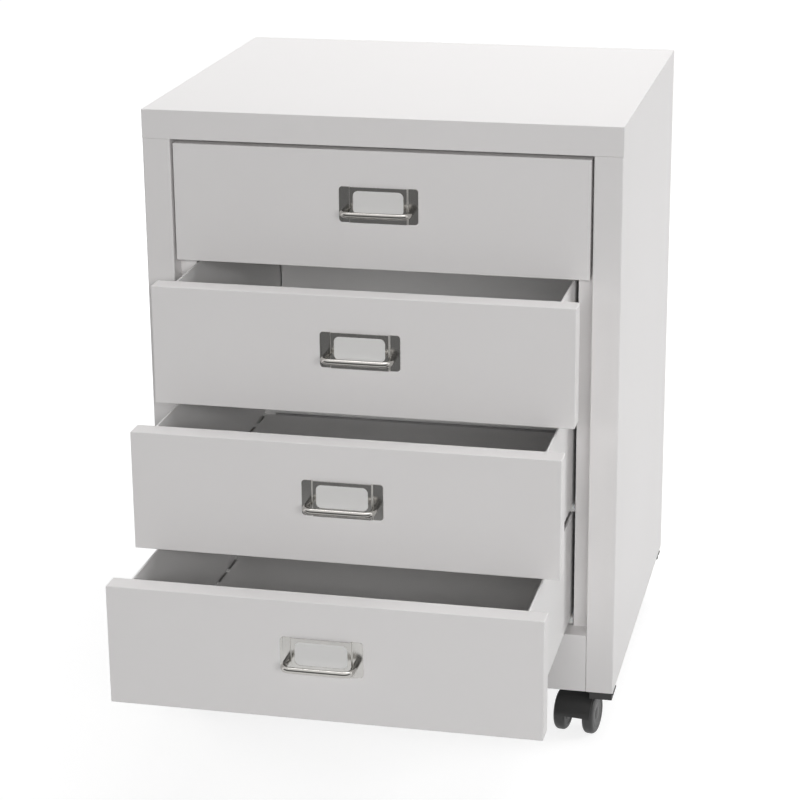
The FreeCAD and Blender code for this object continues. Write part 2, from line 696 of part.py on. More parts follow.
def castors():
    hood = castor_hood()
    axle_half = "(wheel_gap / 2 + wheel_width - wheel_cap_wall - side_clearance)"
    axle = rod("castor_axle", "x", "axle_radius", "2 * " + axle_half, "-" + axle_half, "-castor_trail",
               "-" + AXLE_DROP)
    wheel_right = moved("wheel_place", castor_wheel(), "0", "-castor_trail", "-" + AXLE_DROP)
    wheel_left = mirrored("wheel_place_twin", wheel_right)
    for name, side, depth, turn in CASTORS:
        spot = (side + CASTOR_X, FRONT_PLANE + " + " + depth, "castor_height", turn)
        node("castor_%s_hood" % name, [hood], *spot)
        node("castor_%s_axle" % name, [axle], *spot)
        node("castor_%s_wheel_right" % name, [wheel_right], *spot)
        node("castor_%s_wheel_left" % name, [wheel_left], *spot)


# Drawer front. A folded pan with narrow lips at the back, drilled for the two screws of the pull.
def drawer_front():
    raw = block("front_block", ("-" + FRONT_HALF, FRONT_HALF), ("0", "front_depth"), ("0", FRONT_HEIGHT))
    bent = rounded("front_bends", raw, "front_bend_radius",
                   lambda middle, way: near(middle.y, 0) or along(way, 1))
    hollow = block("front_hollow", ("-" + FRONT_HALF + " + shell_sheet", FRONT_HALF + " - shell_sheet"),
                   ("shell_sheet", "front_depth - shell_sheet"),
                   ("shell_sheet", FRONT_HEIGHT + " - shell_sheet"))
    back = block("front_back_opening", ("-" + FRONT_HALF + " + front_back_lip",
                                        FRONT_HALF + " - front_back_lip"),
                 ("front_depth - shell_sheet - overrun", "front_depth + overrun"),
                 ("front_back_lip", FRONT_HEIGHT + " - front_back_lip"))
    return cut_from("drawer_front", bent, [hollow, back] + pull_holes("front_hole"))


def pull_holes(name):
    """Two clearance holes for the pull's screws, through whatever stands at the front face."""
    return [rod("%s_%s" % (name, side), "y", "pull_screw_radius + hole_clearance",
                "plate_raise + shell_sheet + plate_sheet + 2 * overrun", sign + "pull_width / 2",
                "-plate_sheet - plate_raise - overrun", PULL_HEIGHT)
            for side, sign in (("right", ""), ("left", "-"))]


# Drawer tray. A folded box with a hemmed edge on its two sides. The sheet is pierced by a row of
# slots along the fold of each side, and by one long slot at the foot of the rear wall.
def drawer_tray():
    outside = block("tray_block", ("-" + TRAY_HALF, TRAY_HALF), ("front_depth", TRAY_END),
                    ("tray_floor_lift", TRAY_TOP))
    hollow = block("tray_hollow", ("-" + TRAY_HALF + " + tray_sheet", TRAY_HALF + " - tray_sheet"),
                   ("front_depth + tray_sheet", TRAY_END + " - tray_sheet"),
                   ("tray_floor_lift + tray_sheet", TRAY_TOP + " + overrun"))
    shell = cut_from("tray_shell", outside, [hollow])
    hems = [block("hem_" + side, (low, high), ("front_depth + tray_sheet", TRAY_END + " - tray_sheet"),
                  (TRAY_TOP + " - hem_height", TRAY_TOP))
            for side, low, high in (
                ("right", TRAY_HALF + " - 2 * tray_sheet", TRAY_HALF + " - tray_sheet / 2"),
                ("left", "-" + TRAY_HALF + " + tray_sheet / 2", "-" + TRAY_HALF + " + 2 * tray_sheet"))]
    folded = joined("tray_folded", [shell] + hems)
    slots = [block("rear_slot", ("-" + TRAY_HALF + " + rear_slot_margin", TRAY_HALF + " - rear_slot_margin"),
                   (TRAY_END + " - tray_sheet - rear_slot_width", TRAY_END + " - tray_sheet"),
                   ("tray_floor_lift - overrun", "tray_floor_lift + tray_sheet + overrun"))]
    step = number("slot_length + slot_bridge")
    count = int(number(TRAY_LENGTH + " - 2 * tray_sheet - slot_bridge") / step)
    for index in range(count):
        end = TRAY_END + " - tray_sheet - slot_bridge - %d * (slot_length + slot_bridge)" % index
        for side, low, high in (
                ("right", TRAY_HALF + " - tray_sheet - slot_width", TRAY_HALF + " - tray_sheet"),
                ("left", "-" + TRAY_HALF + " + tray_sheet", "-" + TRAY_HALF + " + tray_sheet + slot_width")):
            slots.append(block("side_slot_%s_%d" % (side, index), (low, high), (end + " - slot_length", end),
                               ("tray_floor_lift - overrun", "tray_floor_lift + tray_sheet + overrun")))
    return cut_from("drawer_tray", folded, slots)


# Rear glides. Nylon blocks on the outside of the tray's rear corners that run in the fixed runners.
def rear_glides():
    start = TRAY_END + " - rear_glide_inset - rear_glide_length"
    raw = block("rear_glide_block", (TRAY_HALF, RUNNER_WEB + " - runner_sheet - rear_glide_side_gap"),
                (start, start + " + rear_glide_length"),
                (RUNNER_FLOOR + " + glide_clearance", "tray_floor_lift + runner_rise - glide_clearance"))
    right = rounded("rear_glide", raw, "rear_glide_radius", lambda middle, way: along(way, 0))
    return [right, mirrored("rear_glide_twin", right)]


# Label plate. A pressed plate: two flat wings on the drawer front, and a raised middle with a
# rounded window that holds the card.
def label_plate():
    half = "(plate_width / 2)"
    middle = "(plate_centre_width / 2)"
    section = [
        ("-" + half, "0"),
        ("-" + half, "-plate_sheet"),
        ("-" + middle + " - plate_step_run", "-plate_sheet"),
        ("-" + middle, "-plate_sheet - plate_raise"),
        (middle, "-plate_sheet - plate_raise"),
        (middle + " + plate_step_run", "-plate_sheet"),
        (half, "-plate_sheet"),
        (half, "0"),
        (middle, "0"),
        (middle + " - plate_step_run", "-plate_raise"),
        ("-" + middle + " + plate_step_run", "-plate_raise"),
        ("-" + middle, "0"),
    ]
    pressed = folded_sheet("plate_pressed", "XY_Plane", section, "plate_height")
    cornered = rounded("plate_corners", pressed, "plate_corner_radius",
                       lambda spot, way: along(way, 1) and near(abs(spot.x), number(half)))
    raw_window = block("window_block", ("-window_width / 2", "window_width / 2"),
                       ("-plate_sheet - plate_raise - overrun", "overrun"),
                       ("plate_height - window_below_top - window_height", "plate_height - window_below_top"))
    window = rounded("window_corners", raw_window, "window_radius", lambda spot, way: along(way, 1))
    opened = cut_from("plate_opened", cornered, [window])
    lifted = moved("plate_lifted", opened, "0", "0", PLATE_TOP + " - plate_height")
    return cut_from("label_plate", lifted, pull_holes("plate_hole"))


# Label card. A blank card held behind the raised middle of the plate.
def label_card():
    half = "(plate_centre_width / 2 - plate_step_run - card_margin)"
    return block("label_card_blank", ("-" + half, half), ("-plate_raise", "-plate_raise + card_sheet"),
                 (PLATE_TOP + " - plate_height + card_margin", PLATE_TOP + " - card_margin"))


# Wire pull. A round wire bent into a flat U: two legs square to the plate and a bar across.
def wire_pull():
    body = doc.addObject("PartDesign::Body", "pull_wire")
    half = number("pull_width / 2")
    reach = number("pull_reach")
    bend = number("wire_bend")
    foot = number("plate_sheet")
    path = body.newObject("Sketcher::SketchObject", "pull_path")
    plane = [item for item in body.Origin.OriginFeatures if item.Role == "XY_Plane"][0]
    path.AttachmentSupport = (plane, [""])
    path.MapMode = "FlatFace"
    spots = [FreeCAD.Vector(*pair, 0) for pair in (
        (-half, -foot), (-half, -reach + bend), (-half + bend, -reach), (half - bend, -reach),
        (half, -reach + bend), (half, -foot))]
    path.addGeometry(Part.LineSegment(spots[0], spots[1]))
    path.addGeometry(Part.ArcOfCircle(Part.Circle(FreeCAD.Vector(-half + bend, -reach + bend, 0),
                                                  FreeCAD.Vector(0, 0, 1), bend), math.pi, 1.5 * math.pi))
    path.addGeometry(Part.LineSegment(spots[2], spots[3]))
    path.addGeometry(Part.ArcOfCircle(Part.Circle(FreeCAD.Vector(half - bend, -reach + bend, 0),
                                                  FreeCAD.Vector(0, 0, 1), bend), 1.5 * math.pi, 2 * math.pi))
    path.addGeometry(Part.LineSegment(spots[4], spots[5]))
    for rule in (("Tangent", 0, 2, 1, 1), ("Tangent", 1, 2, 2, 1), ("Tangent", 2, 2, 3, 1),
                 ("Tangent", 3, 2, 4, 1), ("Vertical", 0), ("Vertical", 4), ("Horizontal", 2)):
        path.addConstraint(Sketcher.Constraint(*rule))
    for kind, geometry, point, text in (
            ("DistanceX", 0, 1, "-pull_width / 2"), ("DistanceY", 0, 1, "-plate_sheet"),
            ("DistanceX", 4, 2, "pull_width / 2"), ("DistanceY", 4, 2, "-plate_sheet"),
            ("DistanceY", 2, 1, "-pull_reach")):
        fixed = path.addConstraint(Sketcher.Constraint(kind, -1, 1, geometry, point, number(text)))
        bind(path, "Constraints[%d]" % fixed, text)
    for arc in (1, 3):
        fixed = path.addConstraint(Sketcher.Constraint("Radius", arc, bend))
        bind(path, "Constraints[%d]" % fixed, "wire_bend")
    ring = body.newObject("Sketcher::SketchObject", "pull_ring")
    upright_plane = [item for item in body.Origin.OriginFeatures if item.Role == "XZ_Plane"][0]
    ring.AttachmentSupport = (upright_plane, [""])
    ring.MapMode = "FlatFace"
    bind(ring, ".AttachmentOffset.Base.z", "plate_sheet")
    ring.addGeometry(Part.Circle(FreeCAD.Vector(-half, 0, 0), FreeCAD.Vector(0, 0, 1), number("wire_radius")))
    for kind, text in (("DistanceX", "-pull_width / 2"), ("DistanceY", "0")):
        fixed = ring.addConstraint(Sketcher.Constraint(kind, -1, 1, 0, 3, number(text)))
        bind(ring, "Constraints[%d]" % fixed, text)
    fixed = ring.addConstraint(Sketcher.Constraint("Radius", 0, number("wire_radius")))
    bind(ring, "Constraints[%d]" % fixed, "wire_radius")
    doc.recompute()
    pipe = body.newObject("PartDesign::AdditivePipe", "pull_pipe")
    pipe.Profile = ring
    pipe.Spine = (path, ["Edge%d" % (index + 1) for index in range(5)])
    bores = [rod("pull_bore_" + side, "y", "pull_screw_radius + running_clearance",
                 "pull_screw_bite + overrun", sign + "pull_width / 2", "-plate_sheet - pull_screw_bite")
             for side, sign in (("right", ""), ("left", "-"))]
    bored = cut_from("pull_bored", body, bores)
    return moved("wire_pull", bored, "0", "0", PULL_HEIGHT)


# Screws of the pull. They pass through the drawer front and the plate into the legs of the wire.
def pull_screws():
    screws = []
    for side, sign in (("right", ""), ("left", "-")):
        shank = rod("pull_shank_" + side, "y", "pull_screw_radius",
                    "shell_sheet + plate_sheet + pull_screw_bite - side_clearance", sign + "pull_width / 2",
                    "-plate_sheet - pull_screw_bite + side_clearance", PULL_HEIGHT)
        head = rod("pull_head_" + side, "y", "pull_screw_head", "pull_screw_head_depth",
                   sign + "pull_width / 2", "shell_sheet", PULL_HEIGHT)
        screws.append(joined("pull_screw_" + side, [shank, head]))
    return screws


def drawers():
    pieces = (
        ("front", [drawer_front()]),
        ("tray", [drawer_tray()]),
        ("rear_glides", rear_glides()),
        ("label_plate", [label_plate()]),
        ("label_card", [label_card()]),
        ("wire_pull", [wire_pull()]),
        ("pull_screws", pull_screws()),
    )
    pulled = {1: "0", 2: "drawer_2_pull", 3: "drawer_3_pull", 4: "drawer_4_pull"}
    for drawer in drawer_numbers():
        spot = ("0", FRONT_PLANE + " + front_recess - " + pulled[drawer],
                "castor_height + " + front_bottom(drawer))
        for piece, solids in pieces:
            node("drawer_%d_%s" % (drawer, piece), solids, *spot)


side_panels()
top_panel()
back_panel()
back_panel_screws()
base_panel()
front_rail()
side_uprights()
fixed_runners()
front_glides()
corner_feet()
castor_mounts()
castors()
drawers()
doc.recompute()

for item in doc.Objects:
    if "Invalid" in item.State or "Error" in item.State:
        raise RuntimeError(item.Label + " did not build")
for item in nodes:
    if item.Shape.isNull() or not item.Shape.isValid() or not item.Shape.Solids:
        raise RuntimeError(item.Label + " has no sound solid")
    if min(solid.Volume for solid in item.Shape.Solids) <= 0:
        raise RuntimeError(item.Label + " has an empty solid")

os.makedirs("parts", exist_ok=True)
for item in nodes:
    item.Shape.exportStep("parts/%s.step" % item.Label)
print("%d sub-parts written" % len(nodes))
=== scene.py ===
import json
import math
import bmesh
import bpy
from mathutils import Matrix, Vector


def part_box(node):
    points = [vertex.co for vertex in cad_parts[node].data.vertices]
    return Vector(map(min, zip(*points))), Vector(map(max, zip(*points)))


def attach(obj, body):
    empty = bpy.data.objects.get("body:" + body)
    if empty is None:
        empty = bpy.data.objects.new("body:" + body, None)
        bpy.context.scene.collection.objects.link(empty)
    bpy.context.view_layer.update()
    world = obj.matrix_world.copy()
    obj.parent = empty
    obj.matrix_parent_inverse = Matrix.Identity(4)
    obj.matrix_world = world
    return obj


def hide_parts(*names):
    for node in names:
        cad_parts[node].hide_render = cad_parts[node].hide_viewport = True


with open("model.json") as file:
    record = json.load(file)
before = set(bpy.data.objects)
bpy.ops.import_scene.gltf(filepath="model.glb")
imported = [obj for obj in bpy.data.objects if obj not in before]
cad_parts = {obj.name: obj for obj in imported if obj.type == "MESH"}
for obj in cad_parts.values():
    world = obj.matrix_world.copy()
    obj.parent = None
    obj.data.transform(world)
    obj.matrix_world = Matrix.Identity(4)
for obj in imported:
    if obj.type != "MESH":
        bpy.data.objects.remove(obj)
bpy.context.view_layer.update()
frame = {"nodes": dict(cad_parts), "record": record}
scene = bpy.context.scene
mm = 0.001


# Studio
# A white sheet on the floor that ends in front of the cabinet, a white surround, a dark studio on
# the camera's side that only shows in metal, and soft lamps. The camera stands in front, a little to
# the right, and looks down.

camera_place = Vector((0.485245, -2.123349, 1.031768))
camera_azimuth = math.radians(12.778)
camera_elevation = math.radians(18.442)
camera_roll = math.radians(-0.513)
camera_lens = 109.03

camera_data = bpy.data.cameras.new("camera")
camera_data.lens = camera_lens
camera_data.sensor_width = 36.0
camera = bpy.data.objects.new("camera", camera_data)
scene.collection.objects.link(camera)
camera_turn = (Matrix.Rotation(camera_azimuth, 4, "Z")
               @ Matrix.Rotation(math.radians(90) - camera_elevation, 4, "X")
               @ Matrix.Rotation(camera_roll, 4, "Z"))
camera.matrix_world = Matrix.Translation(camera_place) @ camera_turn
scene.camera = camera
scene.view_settings.view_transform = "Standard"


def new_node(tree, kind, inputs=None, **settings):
    """A node in a tree, with its settings, and its inputs as values or as links."""
    node = tree.nodes.new(kind)
    for name, value in settings.items():
        setattr(node, name, value)
    for name, value in (inputs or {}).items():
        if isinstance(value, bpy.types.NodeSocket):
            tree.links.new(value, node.inputs[name])
        else:
            node.inputs[name].default_value = value
    return node


def soft_step(tree, value, start, end, low, high):
    """A smooth change from low to high while a value goes from start to end."""
    return new_node(tree, "ShaderNodeMapRange", {"Value": value, "From Min": start, "From Max": end,
                                                 "To Min": low, "To Max": high},
                    interpolation_type="SMOOTHSTEP")


def grey(level):
    """A neutral colour."""
    return (level, level, level, 1.0)


surround_light = 0.05
studio_dark = 0.12
dark_from_y, dark_to_y = -0.45, -0.1
ceiling_from_z, ceiling_to_z = 0.35, 0.7
world = bpy.data.worlds.new("surround")
scene.world = world
world.use_nodes = True
sky = world.node_tree
sky.nodes.clear()
sky_ray = new_node(sky, "ShaderNodeLightPath")
sky_seen = new_node(sky, "ShaderNodeMath", {0: sky_ray.outputs["Is Camera Ray"],
                                            1: sky_ray.outputs["Is Transmission Ray"]},
                    operation="MAXIMUM")
sky_way = new_node(sky, "ShaderNodeSeparateXYZ",
                   {0: new_node(sky, "ShaderNodeTexCoord").outputs["Generated"]})
behind = soft_step(sky, sky_way.outputs["Y"], dark_from_y, dark_to_y, studio_dark, 1.0)
overhead = soft_step(sky, sky_way.outputs["Z"], ceiling_from_z, ceiling_to_z, studio_dark, 1.0)
mirrored_sky = new_node(sky, "ShaderNodeMath", {0: behind.outputs[0], 1: overhead.outputs[0]},
                        operation="MAXIMUM")
sky_lit = new_node(sky, "ShaderNodeMix", {0: sky_ray.outputs["Is Glossy Ray"], 2: surround_light,
                                          3: mirrored_sky.outputs[0]}, data_type="FLOAT")
sky_level = new_node(sky, "ShaderNodeMix", {0: sky_seen.outputs[0], 2: sky_lit.outputs[0], 3: 1.0},
                     data_type="FLOAT")
sky_paint = new_node(sky, "ShaderNodeBackground", {"Color": grey(1.0), "Strength": sky_level.outputs[0]})
new_node(sky, "ShaderNodeOutputWorld", {"Surface": sky_paint.outputs[0]})


def soft_lamp(name, place, aim, width, height, power, in_metal=True):
    """A rectangular softbox that faces a point. Where in_metal is false, no reflection shows it."""
    data = bpy.data.lights.new(name, "AREA")
    data.shape = "RECTANGLE"
    data.size = width
    data.size_y = height
    data.energy = power
    lamp = bpy.data.objects.new(name, data)
    scene.collection.objects.link(lamp)
    lamp.location = place
    lamp.rotation_euler = (Vector(aim) - Vector(place)).to_track_quat("-Z", "Y").to_euler()
    lamp.visible_glossy = in_metal


soft_lamp("softbox_above", (0.25, 0.55, 2.3), (0.1, 0.2, 0.5), 2.0, 1.4, 25.0)
soft_lamp("softbox_right", (2.5, 0.8, 1.3), (0.05, 0.1, 0.3), 1.2, 1.6, 31.0)
soft_lamp("softbox_front_right", (2.2, -4.6, 1.95), (0.0, -0.15, 0.33), 2.0, 0.8, 62.0, False)
soft_lamp("softbox_front", (0.48, -2.6, 1.22), (0.0, -0.15, 0.33), 0.7, 0.4, 15.0, False)
soft_lamp("softbox_front_left", (-0.65, -2.55, 1.14), (0.0, -0.15, 0.33), 0.6, 0.4, 5.0, False)
soft_lamp("softbox_rear_left", (-2.3, 1.7, 1.5), (-0.05, 0.1, 0.3), 1.4, 1.4, 26.0, False)

floor_half = 6.0
sheet_front_edge = -0.8
sheet_edge_blur = 0.07
shadow_reach = 0.55
white_reach = 1.5
glow_near, glow_far = 0.8, 1.0
mirrored_gap, mirrored_sheet = 0.16, 0.63
shade_gap, shade_sheet = 0.02, 0.35
sheet_grey = 0.45
floor_mesh = bpy.data.meshes.new("studio_floor")
floor_mesh.from_pydata([(-floor_half, -floor_half, 0), (floor_half, -floor_half, 0),
                        (floor_half, floor_half, 0), (-floor_half, floor_half, 0)], [], [(0, 1, 2, 3)])
floor = bpy.data.objects.new("studio_floor", floor_mesh)
scene.collection.objects.link(floor)

floor_material = bpy.data.materials.new("white_sheet")
floor_material.use_nodes = True
paper = floor_material.node_tree
paper.nodes.clear()
ray = new_node(paper, "ShaderNodeLightPath")
seen = new_node(paper, "ShaderNodeMath", {0: ray.outputs["Is Camera Ray"],
                                          1: ray.outputs["Is Transmission Ray"]}, operation="MAXIMUM")
shown = new_node(paper, "ShaderNodeMath", {0: seen.outputs[0], 1: ray.outputs["Is Glossy Ray"]},
                 operation="MAXIMUM")
where = new_node(paper, "ShaderNodeTexCoord")
along_y = new_node(paper, "ShaderNodeSeparateXYZ", {0: where.outputs["Object"]})
edge_span = (sheet_front_edge - sheet_edge_blur, sheet_front_edge + sheet_edge_blur)
on_sheet = soft_step(paper, along_y.outputs["Y"], *edge_span, mirrored_gap, mirrored_sheet)
from_middle = new_node(paper, "ShaderNodeVectorMath", {0: where.outputs["Object"]}, operation="LENGTH")
whiter = soft_step(paper, from_middle.outputs["Value"], shadow_reach, white_reach, glow_near, glow_far)
glow = new_node(paper, "ShaderNodeMix", {0: seen.outputs[0], 2: on_sheet.outputs[0], 3: whiter.outputs[0]},
                data_type="FLOAT")
shaded = soft_step(paper, along_y.outputs["Y"], *edge_span, shade_gap, shade_sheet)
shade = new_node(paper, "ShaderNodeMix", {0: seen.outputs[0], 2: shaded.outputs[0], 3: shade_sheet},
                 data_type="FLOAT")
shadow_part = new_node(paper, "ShaderNodeBsdfDiffuse", {"Color": shade.outputs[0]})
white_part = new_node(paper, "ShaderNodeEmission", {"Color": grey(1.0), "Strength": glow.outputs[0]})
both = new_node(paper, "ShaderNodeAddShader", {0: shadow_part.outputs[0], 1: white_part.outputs[0]})
lit_part = new_node(paper, "ShaderNodeBsdfDiffuse", {"Color": grey(sheet_grey)})
paper_mix = new_node(paper, "ShaderNodeMixShader", {0: shown.outputs[0], 1: lit_part.outputs[0],
                                                    2: both.outputs[0]})
new_node(paper, "ShaderNodeOutputMaterial", {"Surface": paper_mix.outputs[0]})
floor_mesh.materials.append(floor_material)


# Cabinet shell
# Folded sheet steel, 1 mm thick: two sides with the front posts, the top with its bar, the rail
# under the drawers, the base pan and the back. Folded, spot-welded and powder coated white.

def shader_group(name, inputs, outputs):
    """An empty shader node group with named sockets. Inputs are (name, value)."""
    group = bpy.data.node_groups.new(name, "ShaderNodeTree")
    for label, value in inputs:
        kind = "NodeSocketColor" if isinstance(value, tuple) else "NodeSocketFloat"
        group.interface.new_socket(name=label, in_out="INPUT", socket_type=kind).default_value = value
    for label, kind in outputs:
        group.interface.new_socket(name=label, in_out="OUTPUT", socket_type=kind)
    return group


FINISH_OUTPUTS = (("Colour", "NodeSocketColor"), ("Roughness", "NodeSocketFloat"),
                  ("Normal", "NodeSocketVector"))
dust_colour = (0.55, 0.53, 0.5, 1.0)

powder_coat = shader_group("powder_coat", (
    ("Paint", grey(0.8)), ("Thin Paint", grey(0.9)), ("Peel Waves", 900.0), ("Powder Grain", 5200.0),
    ("Peel Depth", 0.00002), ("Uneven Coat", 5.0), ("Gloss", 0.3), ("Matt", 0.4), ("Dust", 0.05),
), FINISH_OUTPUTS)
given = new_node(powder_coat, "NodeGroupInput").outputs
spot = new_node(powder_coat, "ShaderNodeTexCoord").outputs["Object"]
peel = new_node(powder_coat, "ShaderNodeTexNoise", {"Vector": spot, "Scale": given["Peel Waves"],
                                                    "Detail": 2.0})
grain = new_node(powder_coat, "ShaderNodeTexNoise", {"Vector": spot, "Scale": given["Powder Grain"],
                                                     "Detail": 1.0})
patches = new_node(powder_coat, "ShaderNodeTexNoise", {"Vector": spot, "Scale": given["Uneven Coat"],
                                                       "Detail": 3.0, "Roughness": 0.55})
relief = new_node(powder_coat, "ShaderNodeMix", {0: 0.3, 2: peel.outputs["Fac"], 3: grain.outputs["Fac"]},
                  data_type="FLOAT")
bump = new_node(powder_coat, "ShaderNodeBump", {"Strength": 1.0, "Distance": given["Peel Depth"],
                                                "Height": relief.outputs[0]})
edge = new_node(powder_coat, "ShaderNodeAttribute", attribute_name="edge")
coat_patch = new_node(powder_coat, "ShaderNodeMapRange", {"Value": patches.outputs["Fac"], "From Min": 0.35,
                                                          "From Max": 0.65, "To Min": 0.0, "To Max": 0.3})
thin = new_node(powder_coat, "ShaderNodeMath", {0: coat_patch.outputs[0], 1: edge.outputs["Fac"]},
                operation="MAXIMUM")
coat_colour = new_node(powder_coat, "ShaderNodeMix", {0: thin.outputs[0], 6: given["Paint"],
                                                      7: given["Thin Paint"]}, data_type="RGBA")
facing = new_node(powder_coat, "ShaderNodeSeparateXYZ",
                  {0: new_node(powder_coat, "ShaderNodeNewGeometry").outputs["Normal"]})
upward = new_node(powder_coat, "ShaderNodeMapRange", {"Value": facing.outputs["Z"], "From Min": 0.6,
                                                      "From Max": 1.0})
settled = new_node(powder_coat, "ShaderNodeMath", {0: upward.outputs[0], 1: given["Dust"]},
                   operation="MULTIPLY")
speck = new_node(powder_coat, "ShaderNodeMath", {0: settled.outputs[0], 1: patches.outputs["Fac"]},
                 operation="MULTIPLY")
dusty = new_node(powder_coat, "ShaderNodeMix", {0: speck.outputs[0], 6: coat_colour.outputs[2],
                                                7: dust_colour}, data_type="RGBA")
sheen = new_node(powder_coat, "ShaderNodeMapRange", {"Value": patches.outputs["Fac"], "From Min": 0.3,
                                                     "From Max": 0.7, "To Min": given["Gloss"],
                                                     "To Max": given["Matt"]})
new_node(powder_coat, "NodeGroupOutput", {"Colour": dusty.outputs[2], "Roughness": sheen.outputs[0],
                                          "Normal": bump.outputs[0]})


def finish_material(name, group, values, metallic=0.0, **fixed):
    """A material whose colour, roughness and relief come from a finish group."""
    material = bpy.data.materials.new(name)
    material.use_nodes = True
    tree = material.node_tree
    shader = tree.nodes["Principled BSDF"]
    finish = new_node(tree, "ShaderNodeGroup", node_tree=group)
    for label, value in values.items():
        finish.inputs[label].default_value = value
    tree.links.new(finish.outputs["Colour"], shader.inputs["Base Color"])
    tree.links.new(finish.outputs["Roughness"], shader.inputs["Roughness"])
    tree.links.new(finish.outputs["Normal"], shader.inputs["Normal"])
    shader.inputs["Metallic"].default_value = metallic
    for label, value in fixed.items():
        shader.inputs[label.replace("_", " ")].default_value = value
    return material


shell_white = (0.868, 0.85, 0.845, 1.0)
shell_white_thin = (0.885, 0.872, 0.868, 1.0)
shell_paint = finish_material("shell_powder_coat", powder_coat, {
    "Paint": shell_white, "Thin Paint": shell_white_thin, "Gloss": 0.32, "Matt": 0.4, "Dust": 0.05})


def shown_as(piece, material, body, slot, *nodes):
    """Gives a finished piece its material and its body, and hides the solids it replaces. The slot is not
    used.
    """
    piece.data.materials.clear()
    piece.data.materials.append(material)
    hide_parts(*nodes)
    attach(piece, body)
    return piece


def settled_mesh(piece):
    """Turns a piece with modifiers into a plain mesh."""
    result = bpy.data.meshes.new_from_object(piece.evaluated_get(bpy.context.evaluated_depsgraph_get()))
    result.name = piece.name
    piece.modifiers.clear()
    piece.data = result
    return piece


def new_piece(name, mesh):
    """An object for a mesh, in the scene."""
    piece = bpy.data.objects.new(name, mesh)
    scene.collection.objects.link(piece)
    return piece


def built_piece(name, work):
    """A piece from a finished bmesh, which it frees."""
    mesh = bpy.data.meshes.new(name)
    work.to_mesh(mesh)
    work.free()
    return new_piece(name, mesh)


weld_reach = 0.002 * mm
flat_angle = math.radians(0.5)
arris_angle = math.radians(32)


def merged_copy(name, node):
    """A piece with the shape of a solid, its triangles joined into whole faces."""
    mesh = frame["nodes"][node].data.copy()
    work = bmesh.new()
    work.from_mesh(mesh)
    bmesh.ops.remove_doubles(work, verts=work.verts, dist=weld_reach)
    bmesh.ops.dissolve_limit(work, angle_limit=flat_angle, verts=work.verts, edges=work.edges)
    work.to_mesh(mesh)
    work.free()
    mesh.materials.clear()
    return new_piece(name, mesh)


def cut_away(piece, boxes):
    """Cuts boxes out of a piece. A box is its middle and its three half sides as vectors."""
    cutters = []
    for middle, halves in boxes:
        work = bmesh.new()
        bmesh.ops.create_cube(work, size=2.0)
        bmesh.ops.transform(work, matrix=Matrix(halves).transposed().to_4x4(), verts=work.verts)
        bmesh.ops.translate(work, vec=middle, verts=work.verts)
        bmesh.ops.recalc_face_normals(work, faces=work.faces)
        cutters.append(built_piece("cutter", work))
        cut = piece.modifiers.new("cut", "BOOLEAN")
        cut.object = cutters[-1]
        cut.solver = "EXACT"
    bpy.context.view_layer.update()
    settled_mesh(piece)
    for cutter in cutters:
        bpy.data.objects.remove(cutter)
    return piece


def soften(piece, plain_round, round_at=None, steps=2, clamped=True):
    """Rounds the arrises of a piece, as cut, folded and coated sheet has them.

    round_at may give another rounding for an edge, from its middle point and its direction. The
    rounded strips are marked in the attribute edge, where the coat is thinner and where the chrome
    plates get a painted highlight. Where clamped is false, no rounding is narrowed to leave room
    for the ones beside it.
    """
    mesh = piece.data
    work = bmesh.new()
    work.from_mesh(mesh)
    sizes = {}
    work.edges.index_update()
    for line in work.edges:
        if len(line.link_faces) == 2 and line.calc_face_angle(0) > arris_angle:
            middle = (line.verts[0].co + line.verts[1].co) / 2
            way = (line.verts[1].co - line.verts[0].co).normalized()
            wanted = round_at(middle, way) if round_at else None
            sizes[line.index] = plain_round if wanted is None else wanted
    largest = max(sizes.values())
    weight = work.edges.layers.float.new("bevel_weight_edge")
    for line in work.edges:
        line[weight] = sizes.get(line.index, 0) / largest
    for face in work.faces:
        face.smooth = True
        face.material_index = 0
    work.to_mesh(mesh)
    work.free()
    mesh.materials.clear()
    mesh.materials.append(None)
    mesh.materials.append(None)
    rounding = piece.modifiers.new("rounding", "BEVEL")
    rounding.limit_method = "WEIGHT"
    rounding.width = largest
    rounding.segments = steps
    rounding.material = 1
    rounding.use_clamp_overlap = clamped
    flatness = piece.modifiers.new("flatness", "WEIGHTED_NORMAL")
    flatness.mode = "FACE_AREA"
    flatness.weight = 100
    flatness.keep_sharp = False
    settled_mesh(piece)
    thin_coat = piece.data.attributes.new("edge", "FLOAT", "FACE")
    thin_coat.data.foreach_set("value", [float(face.material_index) for face in piece.data.polygons])
    piece.data.polygons.foreach_set("material_index", [0] * len(piece.data.polygons))
    return piece


def softened_sheet(name, node, plain_round, round_at=None, steps=2, clamped=True):
    """A copy of a solid with its arrises rounded."""
    return soften(merged_copy(name, node), plain_round, round_at, steps, clamped)


sheet_round = 0.3 * mm
for part in ("side_panel_left", "side_panel_right", "top_panel", "back_panel", "base_panel", "front_rail"):
    shown_as(softened_sheet("shell_" + part, part, sheet_round), shell_paint, "cabinet", "shell_paint",
             part)


# Uprights and runners
# Two folded channels behind each side, and a channel for each drawer welded to them, coated with
# the cabinet. Their white is a little greyer than the shell's: painted shade for the recessed parts.

# A greyer white than the shell's coat: painted shade on the recessed uprights and runners.
inner_paint = finish_material("inner_powder_coat", powder_coat, {
    "Paint": (0.815, 0.8, 0.793, 1.0), "Thin Paint": (0.84, 0.828, 0.82, 1.0), "Gloss": 0.36, "Matt": 0.46,
    "Dust": 0.1})
for part in ("side_uprights_left", "side_uprights_right", "fixed_runners_left", "fixed_runners_right"):
    shown_as(softened_sheet("inner_" + part, part, sheet_round), inner_paint, "cabinet", "inner_paint",
             part)


# Nylon glides
# White moulded blocks: two at the front of each pair of runners, under the edges of the tray, and
# two on the rear corners of each tray.

